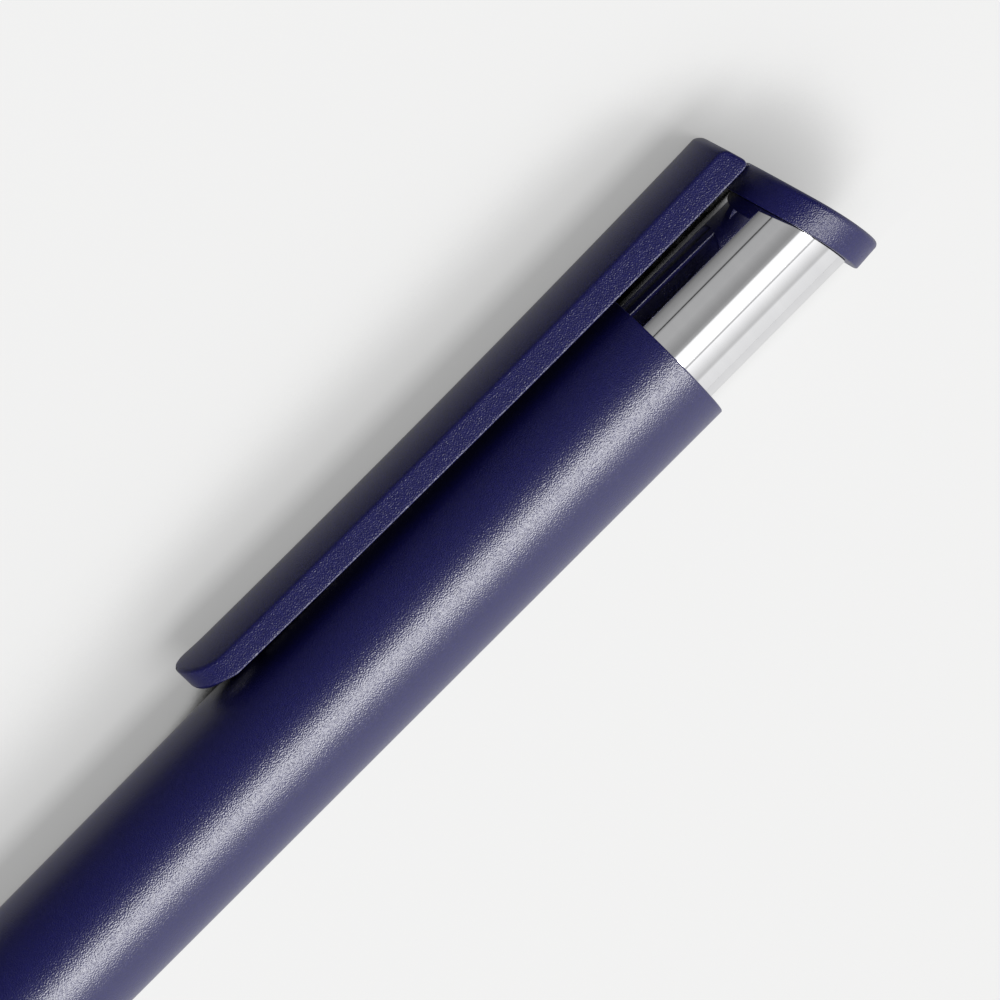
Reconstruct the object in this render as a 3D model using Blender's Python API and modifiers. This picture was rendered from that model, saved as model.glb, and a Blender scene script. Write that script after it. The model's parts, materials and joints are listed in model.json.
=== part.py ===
"""Retractable ballpoint pen whose slanted cap, clip and chrome sleeve are one push button.

The pen is modelled along its own axis: +Z runs from the writing tip to the cap, +X points at the
clip and the nose opening is at Z = 0. An empty on the axis then lays the pen on the ground, cap
towards -X and clip towards -Y, resting on the barrel's rim and on an edge of the clip.
"""

import math

import bmesh
import bpy
from mathutils import Matrix

MM = 0.001

# Barrel and nose, outside
RIM_RADIUS = 5.36 * MM
BARREL_TAPER = 0.0046
RIM_EDGE = 0.12 * MM
NOSE_LENGTH = 14.0 * MM
NOSE_FRONT_RADIUS = 1.75 * MM
NOSE_FULLNESS = 2.2
NOSE_EDGE = 0.3 * MM
SPIGOT_LENGTH = 6.0 * MM
SPIGOT_WALL = 0.8 * MM

# Refill
REFILL_LENGTH = 98.1 * MM
REFILL_RADIUS = 2.925 * MM
REFILL_WALL = 0.3 * MM
REFILL_CHAMFER = 0.15 * MM
FRONT_LENGTH = 10.8 * MM
NECK_RADIUS = 1.6 * MM
SOCKET_RADIUS = 1.15 * MM
SOCKET_CONE = 2.6 * MM
SOCKET_COLLAR = 1.4 * MM
SHANK_RADIUS = 1.0 * MM
SHANK_LENGTH = 4.0 * MM
NECK_CONE = 1.2 * MM
BALL_RADIUS = 0.5 * MM
INK_CHANNEL = 0.3 * MM
INK_LENGTH = 64.0 * MM
FOLLOWER_LENGTH = 4.0 * MM
CROWN_HEIGHT = 2.2 * MM
CROWN_PLUG = 3.6 * MM
CROWN_NOTCHES = 4
CROWN_NOTCH_WIDTH = 1.0 * MM
CROWN_NOTCH_DEPTH = 1.2 * MM

# Click mechanism
RETRACTED_DEPTH = 2.0 * MM
PRESS_STROKE = 6.0 * MM
LATCH_STROKE = 5.2 * MM
TEETH = 6
TOOTH_HEIGHT = 0.8 * MM
TOOTH_GAP = 0.3 * MM
INDEX_ANGLE = math.radians(15)
ROTOR_RADIUS = 2.8 * MM
ROTOR_SHANK = 2.6 * MM
ROTOR_SHANK_RADIUS = 2.2 * MM
RIB_REACH = 0.62 * MM
ROTOR_RIB_HEIGHT = 2.5 * MM
ROTOR_RIB_WIDTH = 0.9 * MM
PLUNGER_HEAD = 3.0 * MM
PLUNGER_RIB_WIDTH = 1.6 * MM
PLUNGER_GRIP = 9.0 * MM
GROOVE_WIDTH = 2.0 * MM
GUIDE_LIP = 0.9 * MM
SPRING_WIRE = 0.19 * MM
SPRING_TURNS = 7
POINTS_PER_TURN = 10
CHAMBER_DEPTH = 3.2 * MM

# Push button: chrome sleeve over the core of the cap moulding
SLEEVE_RADIUS = 4.18 * MM
SLEEVE_WALL = 0.35 * MM
GUIDED_LENGTH = 11.4 * MM
CHROME_SHOWN = 11.6 * MM
CORE_BORE = 2.6 * MM
PLATE_RADIUS = 5.0 * MM
PLATE_DRAFT = 0.05 * MM
PLATE_THICKNESS = 2.2 * MM
PLATE_SLOPE = math.tan(math.radians(16.5))
PLATE_FLAT_FROM = 1.5 * MM
PLATE_BEND = 0.0135 / MM
PLATE_TOP_EDGE = 0.42 * MM
PLATE_LOW_EDGE = 0.12 * MM
NECK_HALF_AT_PLATE = 0.5 * MM
NECK_HALF_AT_CLIP = 1.4 * MM
NECK_DROP = 0.1 * MM

# Clip: an arched blade that widens towards the barrel, hollowed by two channels
CLIP_OUTER_RADIUS = 7.97 * MM
CLIP_DEPTH_TOP = 2.45 * MM
CLIP_DEPTH_TIP = 2.08 * MM
CLIP_ROOF = 1.07 * MM
CLIP_FLARE = 0.3444
CLIP_HALF_TOP = 3.3 * MM
CLIP_HALF_TIP = 3.08 * MM
CLIP_BELOW_RIM = 36.3 * MM
CLIP_TIP_LENGTH = 2.95 * MM
CLIP_TIP_SLANT = 0.3 * MM
CLIP_TIP_CORNER = 0.12
CLIP_TIP_EDGE = 0.06 * MM
CLIP_TIP_LIFT = 0.12 * MM
CLIP_LIFT_LENGTH = 3.0 * MM
CLIP_UNDER_LIFT = 0.68 * MM
CLIP_UNDER_LENGTH = 2.8 * MM
CLIP_BOW_CENTRE = 15.7 * MM
CLIP_BOW_RADIUS = 1360 * MM
CLIP_EDGE = 0.16 * MM
CLIP_TOP_WIDTH = 1.05 * MM
CLIP_TOP_DROP = 0.5 * MM
CLIP_TOP_FADE = 0.55
CLIP_CORNER_WIDTH = 0.5 * MM
CLIP_CORNER_DROP = 0.65 * MM
CHANNEL_LIP = 0.6 * MM
CHANNEL_RIB_HALF = 0.65 * MM
CHANNEL_RUN_OUT = 1.5 * MM
CHANNEL_FROM_TIP = 4.75 * MM
PIP_FROM_TIP = 2.3 * MM
PIP_LENGTH = 4.6 * MM
PIP_WIDTH = 2.8 * MM
PIP_DEPTH = 1.4 * MM
PIP_CLEARANCE = 0.1 * MM

# Clearances
SEAT_GAP = 0.25 * MM
RUNNING_FIT = 0.08 * MM
CLOSE_FIT = 0.04 * MM
FLUSH_STEP = 0.02 * MM
CUT_OVER = 1.0 * MM

# Facets round each turned piece
OUTER_STEPS = 96
NOSE_STEPS = 64
INNER_STEPS = 48
FINE_STEPS = 24

# Heights along the axis, stacked from the nose opening to the cap
REFILL_FRONT = RETRACTED_DEPTH
REFILL_SHOULDER = REFILL_FRONT + FRONT_LENGTH
REFILL_TOP = REFILL_FRONT + REFILL_LENGTH
BALL_CENTRE = REFILL_FRONT + BALL_RADIUS
COLLAR_TOP = REFILL_FRONT + SOCKET_CONE + SOCKET_COLLAR
INK_LOW = REFILL_SHOULDER + REFILL_WALL + CLOSE_FIT
FOLLOWER_LOW = INK_LOW + INK_LENGTH + CLOSE_FIT
ROTOR_BOTTOM = REFILL_TOP + SEAT_GAP
ROTOR_RIB_TOP = ROTOR_BOTTOM + ROTOR_SHANK + ROTOR_RIB_HEIGHT
ROTOR_TOP = ROTOR_RIB_TOP + TOOTH_HEIGHT
GUIDE_BOTTOM = ROTOR_RIB_TOP - LATCH_STROKE
PLUNGER_RIB_LOW = ROTOR_TOP + TOOTH_GAP
PLUNGER_TOP = PLUNGER_RIB_LOW + PLUNGER_HEAD
GROOVE_TOP = PLUNGER_TOP + SEAT_GAP
GUIDE_TOP = GROOVE_TOP + GUIDE_LIP
CORE_BOTTOM = GUIDE_TOP + PRESS_STROKE + SEAT_GAP
RIM = CORE_BOTTOM + GUIDED_LENGTH
PLATE_LOW = RIM + CHROME_SHOWN
PLATE_TOP = PLATE_LOW + PLATE_THICKNESS
CLIP_TIP = RIM - CLIP_BELOW_RIM
CLIP_TOP = PLATE_TOP - PLATE_SLOPE * CLIP_OUTER_RADIUS
PLATE_SHOULDER = PLATE_RADIUS - PLATE_DRAFT - PLATE_TOP_EDGE
NECK_LOW = PLATE_LOW - PLATE_SLOPE * PLATE_RADIUS

# Radii that follow from what runs inside what
JOINT_RADIUS = RIM_RADIUS - BARREL_TAPER * (RIM - NOSE_LENGTH)
RIB_RADIUS = ROTOR_RADIUS + RIB_REACH
LAND_RADIUS = ROTOR_RADIUS + 2 * RUNNING_FIT
GROOVE_RADIUS = RIB_RADIUS + RUNNING_FIT
SLEEVE_BORE = SLEEVE_RADIUS - SLEEVE_WALL
BARREL_BORE = SLEEVE_RADIUS + RUNNING_FIT
REFILL_BORE = RIB_RADIUS + 2 * RUNNING_FIT
NOSE_BORE = REFILL_RADIUS + RUNNING_FIT
SPIGOT_RADIUS = NOSE_BORE + SPIGOT_WALL
TIP_HOLE = SOCKET_RADIUS + 2 * RUNNING_FIT
COIL_RADIUS = NECK_RADIUS + 2 * RUNNING_FIT + SPRING_WIRE
CHAMBER_RADIUS = COIL_RADIUS + SPRING_WIRE + 2 * RUNNING_FIT


def clear_scene():
    for old in list(bpy.data.objects):
        bpy.data.objects.remove(old, do_unlink=True)


def new_collection(name):
    made = bpy.data.collections.new(name)
    bpy.context.scene.collection.children.link(made)
    return made


def material(name, colour, roughness, metallic):
    made = bpy.data.materials.new(name)
    made.use_nodes = True
    shader = made.node_tree.nodes["Principled BSDF"]
    shader.inputs["Base Color"].default_value = (*colour, 1.0)
    shader.inputs["Roughness"].default_value = roughness
    shader.inputs["Metallic"].default_value = metallic
    made.diffuse_color = (*colour, 1.0)
    return made


def add_object(name, mesh, paint=None):
    """Puts a mesh into the parts, or among the cutters if it has no material."""
    made = bpy.data.objects.new(name, mesh)
    if paint is None:
        CUTTERS.objects.link(made)
        made.hide_render = True
        made.display_type = "WIRE"
    else:
        PARTS.objects.link(made)
        mesh.materials.append(paint)
    made.parent = PEN
    return made


def smooth(mesh):
    mesh.shade_smooth()
    mesh.set_sharp_from_angle(angle=math.radians(35))


def arc(centre, radii, start, end, steps):
    """Points (r, z) on an ellipse's arc, by angles in degrees measured from +r towards +z."""
    points = []
    for k in range(steps + 1):
        a = math.radians(start + (end - start) * k / steps)
        points.append((centre[0] + radii[0] * math.cos(a), centre[1] + radii[1] * math.sin(a)))
    return points


def turned_mesh(name, profile, steps, closed):
    """Turns a profile of (r, z) points, which runs down its outer side, about the axis."""
    mesh = bpy.data.meshes.new(name)
    count = len(profile)
    edges = [(k, k + 1) for k in range(count - 1)]
    if closed:
        edges.append((count - 1, 0))
    mesh.from_pydata([(r, 0.0, z) for r, z in profile], edges, [])
    holder = bpy.data.objects.new(name + "_profile", mesh)
    bpy.context.scene.collection.objects.link(holder)
    screw = holder.modifiers.new("turn", "SCREW")
    screw.axis = "Z"
    screw.angle = math.tau
    screw.steps = steps
    screw.render_steps = steps
    screw.use_merge_vertices = True
    screw.merge_threshold = 0.000001
    bpy.context.view_layer.update()
    evaluated = holder.evaluated_get(bpy.context.evaluated_depsgraph_get())
    made = bpy.data.meshes.new_from_object(evaluated)
    made.name = name
    bpy.data.objects.remove(holder, do_unlink=True)
    bpy.data.meshes.remove(mesh)
    smooth(made)
    return made


def turned(name, profile, steps, paint=None, closed=True):
    return add_object(name, turned_mesh(name, profile, steps, closed), paint)


def leaned(x, z):
    """Height of a point of a level cap after it is leaned towards the clip and bent down behind."""
    behind = max(0.0, PLATE_FLAT_FROM - x)
    return z - PLATE_SLOPE * x - PLATE_BEND * behind**2


def lean(mesh, above=-math.inf):
    for vert in mesh.vertices:
        if vert.co.z > above:
            vert.co.z = leaned(vert.co.x, vert.co.z)


def box_mesh(name, low, high):
    mesh = bpy.data.meshes.new(name)
    bm = bmesh.new()
    bmesh.ops.create_cube(bm, size=1.0)
    for vert in bm.verts:
        for axis in range(3):
            vert.co[axis] = low[axis] if vert.co[axis] < 0 else high[axis]
    bm.to_mesh(mesh)
    bm.free()
    return mesh


def prism_mesh(name, outline, half):
    """Extrudes a closed (x, z) outline along Y, by the same amount to each side."""
    mesh = bpy.data.meshes.new(name)
    bm = bmesh.new()
    face = bm.faces.new([bm.verts.new((x, -half, z)) for x, z in outline])
    grown = bmesh.ops.extrude_face_region(bm, geom=[face])
    moved = [item for item in grown["geom"] if isinstance(item, bmesh.types.BMVert)]
    bmesh.ops.translate(bm, verts=moved, vec=(0, 2 * half, 0))
    bmesh.ops.recalc_face_normals(bm, faces=bm.faces)
    bm.to_mesh(mesh)
    bm.free()
    return mesh


def spokes_mesh(name, count, low, high, turn=0.0):
    """Boxes set round the axis as one mesh; each runs from low to high before it is turned."""
    mesh = bpy.data.meshes.new(name)
    bm = bmesh.new()
    for k in range(count):
        made = bmesh.ops.create_cube(bm, size=1.0)["verts"]
        for vert in made:
            for axis in range(3):
                vert.co[axis] = low[axis] if vert.co[axis] < 0 else high[axis]
        spin = Matrix.Rotation(math.tau * k / count + turn, 3, "Z")
        bmesh.ops.rotate(bm, verts=made, cent=(0, 0, 0), matrix=spin)
    bm.to_mesh(mesh)
    bm.free()
    return mesh


def boolean(target, tool, operation):
    cut = target.modifiers.new(tool.name, "BOOLEAN")
    cut.operation = operation
    cut.solver = "EXACT"
    cut.object = tool
    return cut


def saw_disc_mesh(name, level, back, phase=0.0):
    """A disc with a ring of saw teeth on one face and a flat back.

    Each tooth climbs evenly from the level to a tooth's height above it, then falls steeply. The
    back may lie below the teeth or above them, and the phase turns them about the axis.
    """
    fall = 0.06
    steps = 4
    pitch = math.tau / TEETH
    ring = []
    for tooth in range(TEETH):
        for k in range(steps):
            share = k / (steps - 1)
            angle = phase + pitch * (tooth + share * (1 - fall))
            ring.append((math.cos(angle), math.sin(angle), level + TOOTH_HEIGHT * share))
    mesh = bpy.data.meshes.new(name)
    bm = bmesh.new()
    toothed = [bm.verts.new((ROTOR_RADIUS * x, ROTOR_RADIUS * y, z)) for x, y, z in ring]
    flat = [bm.verts.new((ROTOR_RADIUS * x, ROTOR_RADIUS * y, back)) for x, y, z in ring]
    hub = bm.verts.new((0, 0, level + TOOTH_HEIGHT / 2))
    for k in range(len(ring)):
        after = (k + 1) % len(ring)
        bm.faces.new((toothed[k], toothed[after], flat[after], flat[k]))
        bm.faces.new((hub, toothed[after], toothed[k]))
    bm.faces.new(flat)
    bmesh.ops.recalc_face_normals(bm, faces=bm.faces)
    bm.to_mesh(mesh)
    bm.free()
    return mesh


def barrel_radius(height):
    return RIM_RADIUS - BARREL_TAPER * (RIM - height)


def make_barrel(paint):
    low_edge = RIM_EDGE
    counterbore = SPIGOT_RADIUS + CLOSE_FIT
    counterbore_top = NOSE_LENGTH + SPIGOT_LENGTH + SEAT_GAP
    guide_seat = GUIDE_BOTTOM - SEAT_GAP
    profile = arc((RIM_RADIUS - RIM_EDGE, RIM - RIM_EDGE), (RIM_EDGE, RIM_EDGE), 90, 0, 4)
    profile += [
        (JOINT_RADIUS, NOSE_LENGTH + low_edge),
        (JOINT_RADIUS - low_edge, NOSE_LENGTH),
        (counterbore, NOSE_LENGTH),
        (counterbore, counterbore_top),
        (REFILL_BORE, counterbore_top),
        (REFILL_BORE, guide_seat),
        (BARREL_BORE, guide_seat),
        (BARREL_BORE, RIM - RIM_EDGE),
        (BARREL_BORE + RIM_EDGE, RIM),
    ]
    turned("barrel", profile, OUTER_STEPS, paint)


def nose_radius(height):
    share = 1 - (1 - height / NOSE_LENGTH) ** NOSE_FULLNESS
    return NOSE_FRONT_RADIUS + (JOINT_RADIUS - NOSE_FRONT_RADIUS) * share


def make_nose_cone(paint):
    """A turned ogive with a spigot that goes into the barrel, and the spring's chamber inside."""
    spigot_top = NOSE_LENGTH + SPIGOT_LENGTH
    shoulder = NOSE_LENGTH - CLOSE_FIT
    chamber_top = REFILL_SHOULDER - PRESS_STROKE - SEAT_GAP
    steps = 10
    outside = [(nose_radius(shoulder * (1 - k / steps)), shoulder * (1 - k / steps)) for k in range(steps)]
    front_edge = arc((NOSE_FRONT_RADIUS - NOSE_EDGE, NOSE_EDGE), (NOSE_EDGE, NOSE_EDGE), 0, -90, 3)
    profile = [(SPIGOT_RADIUS - RIM_EDGE, spigot_top), (SPIGOT_RADIUS, spigot_top - RIM_EDGE)]
    profile += [(SPIGOT_RADIUS, shoulder)]
    profile += outside
    profile += front_edge
    profile += [
        (TIP_HOLE, 0),
        (TIP_HOLE, CHAMBER_DEPTH),
        (CHAMBER_RADIUS, CHAMBER_DEPTH),
        (CHAMBER_RADIUS, chamber_top),
        (NOSE_BORE, chamber_top),
        (NOSE_BORE, spigot_top),
    ]
    turned("nose_cone", profile, NOSE_STEPS, paint)


def make_return_spring(paint):
    """One unbroken helix between the nose's seat and the refill's shoulder."""
    low = CHAMBER_DEPTH + SPRING_WIRE + SEAT_GAP / 2
    high = REFILL_SHOULDER - SPRING_WIRE - SEAT_GAP / 2
    count = SPRING_TURNS * POINTS_PER_TURN
    curve = bpy.data.curves.new("return_spring", "CURVE")
    curve.dimensions = "3D"
    curve.bevel_depth = SPRING_WIRE
    curve.bevel_resolution = 1
    curve.use_fill_caps = True
    line = curve.splines.new("POLY")
    line.points.add(count)
    for k in range(count + 1):
        turn = math.tau * k / POINTS_PER_TURN
        height = low + (high - low) * k / count
        line.points[k].co = (COIL_RADIUS * math.cos(turn), COIL_RADIUS * math.sin(turn), height, 1)
    curve.materials.append(paint)
    spring = bpy.data.objects.new("return_spring", curve)
    PARTS.objects.link(spring)
    spring.parent = PEN
    points = [point.co.to_3d() for point in line.points]
    ahead = range(POINTS_PER_TURN // 2, count + 1)
    apart = min((points[k] - points[k - j]).length for k in ahead for j in ahead if j <= k)
    print(f"return_spring least gap between turns: {(apart - 2 * SPRING_WIRE) / MM:.2f} mm")


def make_refill_tube(paint):
    """Metal ink tube, necked at the front to grip the socket's shank.

    The neck stays slim as far as it enters the nose's hole when the button is fully down.
    """
    bore = REFILL_RADIUS - REFILL_WALL
    grip = SHANK_RADIUS + CLOSE_FIT
    top = REFILL_TOP - CROWN_HEIGHT - CLOSE_FIT
    front = COLLAR_TOP + CLOSE_FIT
    slim_top = CHAMBER_DEPTH + PRESS_STROKE + SEAT_GAP
    profile = [
        (REFILL_RADIUS, top),
        (REFILL_RADIUS, REFILL_SHOULDER + REFILL_CHAMFER),
        (REFILL_RADIUS - REFILL_CHAMFER, REFILL_SHOULDER),
        (NECK_RADIUS, REFILL_SHOULDER),
        (NECK_RADIUS, slim_top + NECK_CONE),
        (grip + REFILL_CHAMFER, slim_top),
        (grip + REFILL_CHAMFER, front),
        (grip, front),
        (grip, REFILL_SHOULDER + REFILL_WALL),
        (bore, REFILL_SHOULDER + REFILL_WALL),
        (bore, top),
    ]
    turned("refill_tube", profile, INNER_STEPS, paint)


def make_refill_tip(paint):
    """Turned socket that holds the ball: a cone, a collar and a shank with the ink channel."""
    lip = REFILL_FRONT + BALL_RADIUS / 2
    lip_radius = math.sqrt(BALL_RADIUS**2 - (BALL_CENTRE - lip) ** 2) + CLOSE_FIT
    cup = BALL_RADIUS + CLOSE_FIT
    shank_top = COLLAR_TOP + SHANK_LENGTH
    profile = [
        (SHANK_RADIUS, shank_top),
        (SHANK_RADIUS, COLLAR_TOP),
        (SOCKET_RADIUS, COLLAR_TOP),
        (SOCKET_RADIUS, REFILL_FRONT + SOCKET_CONE),
        (cup + CLOSE_FIT, lip),
        (lip_radius, lip),
        (cup, BALL_CENTRE),
        (cup, BALL_CENTRE + cup),
        (INK_CHANNEL, BALL_CENTRE + cup),
        (INK_CHANNEL, shank_top),
    ]
    turned("refill_tip", profile, FINE_STEPS, paint)


def make_writing_ball(paint):
    mesh = bpy.data.meshes.new("writing_ball")
    bm = bmesh.new()
    bmesh.ops.create_uvsphere(bm, u_segments=16, v_segments=10, radius=BALL_RADIUS)
    bmesh.ops.translate(bm, verts=bm.verts, vec=(0, 0, BALL_CENTRE))
    bm.to_mesh(mesh)
    bm.free()
    smooth(mesh)
    add_object("writing_ball", mesh, paint)


def make_ink_column(name, low, length, paint):
    radius = REFILL_RADIUS - REFILL_WALL - CLOSE_FIT
    profile = [(0, low + length), (radius, low + length), (radius, low), (0, low)]
    turned(name, profile, FINE_STEPS, paint, closed=False)


def make_refill_crown(paint):
    """Plastic plug of the ink tube, with notches round the end that the rotor pushes."""
    rim = REFILL_RADIUS - CLOSE_FIT
    plug = REFILL_RADIUS - REFILL_WALL - CLOSE_FIT
    seat = REFILL_TOP - CROWN_HEIGHT
    profile = [(0, REFILL_TOP), (rim, REFILL_TOP), (rim, seat), (plug, seat)]
    profile += [(plug, seat - CROWN_PLUG), (0, seat - CROWN_PLUG)]
    crown = turned("refill_crown", profile, INNER_STEPS, paint, closed=False)
    low = (REFILL_RADIUS / 2, -CROWN_NOTCH_WIDTH / 2, REFILL_TOP - CROWN_NOTCH_DEPTH)
    high = (REFILL_RADIUS + CUT_OVER, CROWN_NOTCH_WIDTH / 2, REFILL_TOP + CUT_OVER)
    notches = add_object("crown_notch_cutter", spokes_mesh("notches", CROWN_NOTCHES, low, high))
    boolean(crown, notches, "DIFFERENCE")


def make_guide_sleeve(paint):
    """The fixed sleeve of the click mechanism, with a groove for each rib and slanted land ends."""
    outer = BARREL_BORE - CLOSE_FIT
    profile = [
        (outer, GUIDE_TOP),
        (outer, GUIDE_BOTTOM),
        (LAND_RADIUS, GUIDE_BOTTOM),
        (LAND_RADIUS, GUIDE_TOP),
    ]
    guide = turned("guide_sleeve", profile, INNER_STEPS, paint)
    low = (ROTOR_SHANK_RADIUS, -GROOVE_WIDTH / 2, GUIDE_BOTTOM - CUT_OVER)
    high = (GROOVE_RADIUS, GROOVE_WIDTH / 2, GROOVE_TOP)
    grooves = add_object("guide_groove_cutter", spokes_mesh("grooves", TEETH, low, high))
    boolean(guide, grooves, "DIFFERENCE")


def make_cam_rotor(paint):
    """Toothed wheel that indexes on each click and carries the push to the refill.

    It rests turned back by half its index angle, so its teeth are out of mesh with the plunger's
    until the button is down.
    """
    back = ROTOR_BOTTOM + ROTOR_SHANK
    disc = saw_disc_mesh("rotor", ROTOR_RIB_TOP, back, -INDEX_ANGLE)
    rotor = add_object("cam_rotor", disc, paint)
    shank_top = back + ROTOR_RIB_HEIGHT / 2
    shank = [
        (0, shank_top),
        (ROTOR_SHANK_RADIUS, shank_top),
        (ROTOR_SHANK_RADIUS, ROTOR_BOTTOM),
        (0, ROTOR_BOTTOM),
    ]
    boolean(rotor, turned("rotor_shank", shank, INNER_STEPS, closed=False), "UNION")
    low = (ROTOR_SHANK_RADIUS, -ROTOR_RIB_WIDTH / 2, back + FLUSH_STEP)
    high = (RIB_RADIUS, ROTOR_RIB_WIDTH / 2, ROTOR_RIB_TOP - FLUSH_STEP)
    ribs = spokes_mesh("rotor_ribs", TEETH, low, high, -INDEX_ANGLE / 2)
    boolean(rotor, add_object("rotor_ribs", ribs), "UNION")


def make_plunger(paint):
    """Pusher of the click mechanism: a toothed, ribbed head on a stem that the cap's core grips."""
    disc = saw_disc_mesh("plunger", ROTOR_RIB_TOP + TOOTH_GAP, PLUNGER_TOP)
    plunger = add_object("plunger", disc, paint)
    stem_radius = CORE_BORE - CLOSE_FIT
    stem_top = CORE_BOTTOM + PLUNGER_GRIP
    stem_low = PLUNGER_RIB_LOW + PLUNGER_HEAD / 2
    stem = [(0, stem_top), (stem_radius, stem_top), (stem_radius, stem_low), (0, stem_low)]
    boolean(plunger, turned("plunger_stem", stem, INNER_STEPS, closed=False), "UNION")
    low = (ROTOR_SHANK_RADIUS, -PLUNGER_RIB_WIDTH / 2, PLUNGER_RIB_LOW + FLUSH_STEP)
    high = (RIB_RADIUS, PLUNGER_RIB_WIDTH / 2, PLUNGER_TOP - FLUSH_STEP)
    ribs = spokes_mesh("plunger_ribs", TEETH, low, high)
    boolean(plunger, add_object("plunger_ribs", ribs), "UNION")


def make_chrome_sleeve(paint):
    """A plain drawn tube whose upper end follows the underside of the plate."""
    low_end = CORE_BOTTOM + FLUSH_STEP
    reach = SLEEVE_RADIUS + CUT_OVER
    high_end = leaned(-reach, PLATE_TOP)
    profile = [
        (SLEEVE_RADIUS, high_end),
        (SLEEVE_RADIUS, low_end),
        (SLEEVE_BORE, low_end),
        (SLEEVE_BORE, high_end),
    ]
    sleeve = turned("chrome_sleeve", profile, OUTER_STEPS, paint)
    steps = 24
    across = [reach * (2 * k / steps - 1) for k in range(steps + 1)]
    outline = [(x, leaned(x, PLATE_LOW - CLOSE_FIT)) for x in across]
    outline += [(reach, high_end + CUT_OVER), (-reach, high_end + CUT_OVER)]
    cutter = add_object("sleeve_top_cutter", prism_mesh("sleeve_top", outline, reach))
    boolean(sleeve, cutter, "DIFFERENCE")


def clip_radius(height):
    """Outer radius of the clip, which bows away from the barrel at both ends and lifts at its tip."""
    away = height - (RIM - CLIP_BOW_CENTRE)
    near_tip = max(0.0, 1 - (height - CLIP_TIP) / CLIP_LIFT_LENGTH)
    return CLIP_OUTER_RADIUS + away**2 / (2 * CLIP_BOW_RADIUS) + CLIP_TIP_LIFT * near_tip**2


def towards_tip(at_top, at_tip, height):
    """A value of the clip that changes evenly from the cap's top to the clip's tip."""
    return at_top + (at_tip - at_top) * (PLATE_TOP - height) / (PLATE_TOP - CLIP_TIP)


def clip_inner(height):
    """Distance of the clip's inner face from the axis. It lifts at the tip to let cloth in."""
    depth = towards_tip(CLIP_DEPTH_TOP, CLIP_DEPTH_TIP, height)
    near_tip = max(0.0, 1 - (height - CLIP_TIP) / CLIP_UNDER_LENGTH)
    return clip_radius(height) - depth + CLIP_UNDER_LIFT * near_tip


def clip_half(height):
    """Half of the clip's width over its outer face."""
    return towards_tip(CLIP_HALF_TOP, CLIP_HALF_TIP, height)


CLIP_REACH = clip_radius(CLIP_TOP)
CLIP_BACK = clip_inner(CLIP_TOP)


def rounded(before, corner, after):
    """One point that rounds a corner of a section between the two where the rounding ends."""
    return tuple((b + 2 * c + a) / 4 for b, c, a in zip(before, corner, after))


def clip_section(radius, drop, inner, half, width_share, edge):
    """Closed loop of (x, y, share of the side wall passed) round the clip's solid section.

    The drop lowers the crown of the outer face, and less so the ridges. The width share trims the
    section for the rounded tip.
    """
    half *= width_share
    edge *= width_share
    swing = math.asin(half / radius)
    steps = 8
    outer_face = []
    for k in range(steps + 1):
        angle = (swing - edge / radius) * k / steps
        x, y = radius * math.cos(angle), radius * math.sin(angle)
        outer_face.append((x - drop * (1 - CLIP_TOP_FADE * (y / half) ** 2), y))
    ridge = (radius * math.cos(swing) - drop * (1 - CLIP_TOP_FADE), half)
    foot = (inner, half + CLIP_FLARE * width_share * (ridge[0] - inner))
    step = edge / math.dist(ridge, foot)
    high, corner, low = [
        tuple(r + (f - r) * share for r, f in zip(ridge, foot))
        for share in (step, CLIP_TIP_CORNER, 1 - step)
    ]
    under = (inner, foot[1] - edge)
    half_loop = outer_face
    half_loop += [rounded(outer_face[-1], ridge, high), high, corner, low]
    half_loop += [rounded(low, foot, under)]
    half_loop += [under, (inner, 0.0)]
    loop = []
    for x, y in half_loop:
        passed = min(1.0, max(0.0, (ridge[0] - x) / (ridge[0] - inner)))
        loop.append((x, y, passed))
    return loop + [(x, -y, passed) for x, y, passed in reversed(loop[1:-1])]


def drawn_in(depth, height, width):
    """How far an elliptical rounding draws in at a depth below the end of a wall."""
    if depth >= height:
        return 0.0
    return width * (1 - math.sqrt(1 - (1 - depth / height) ** 2))


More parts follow.
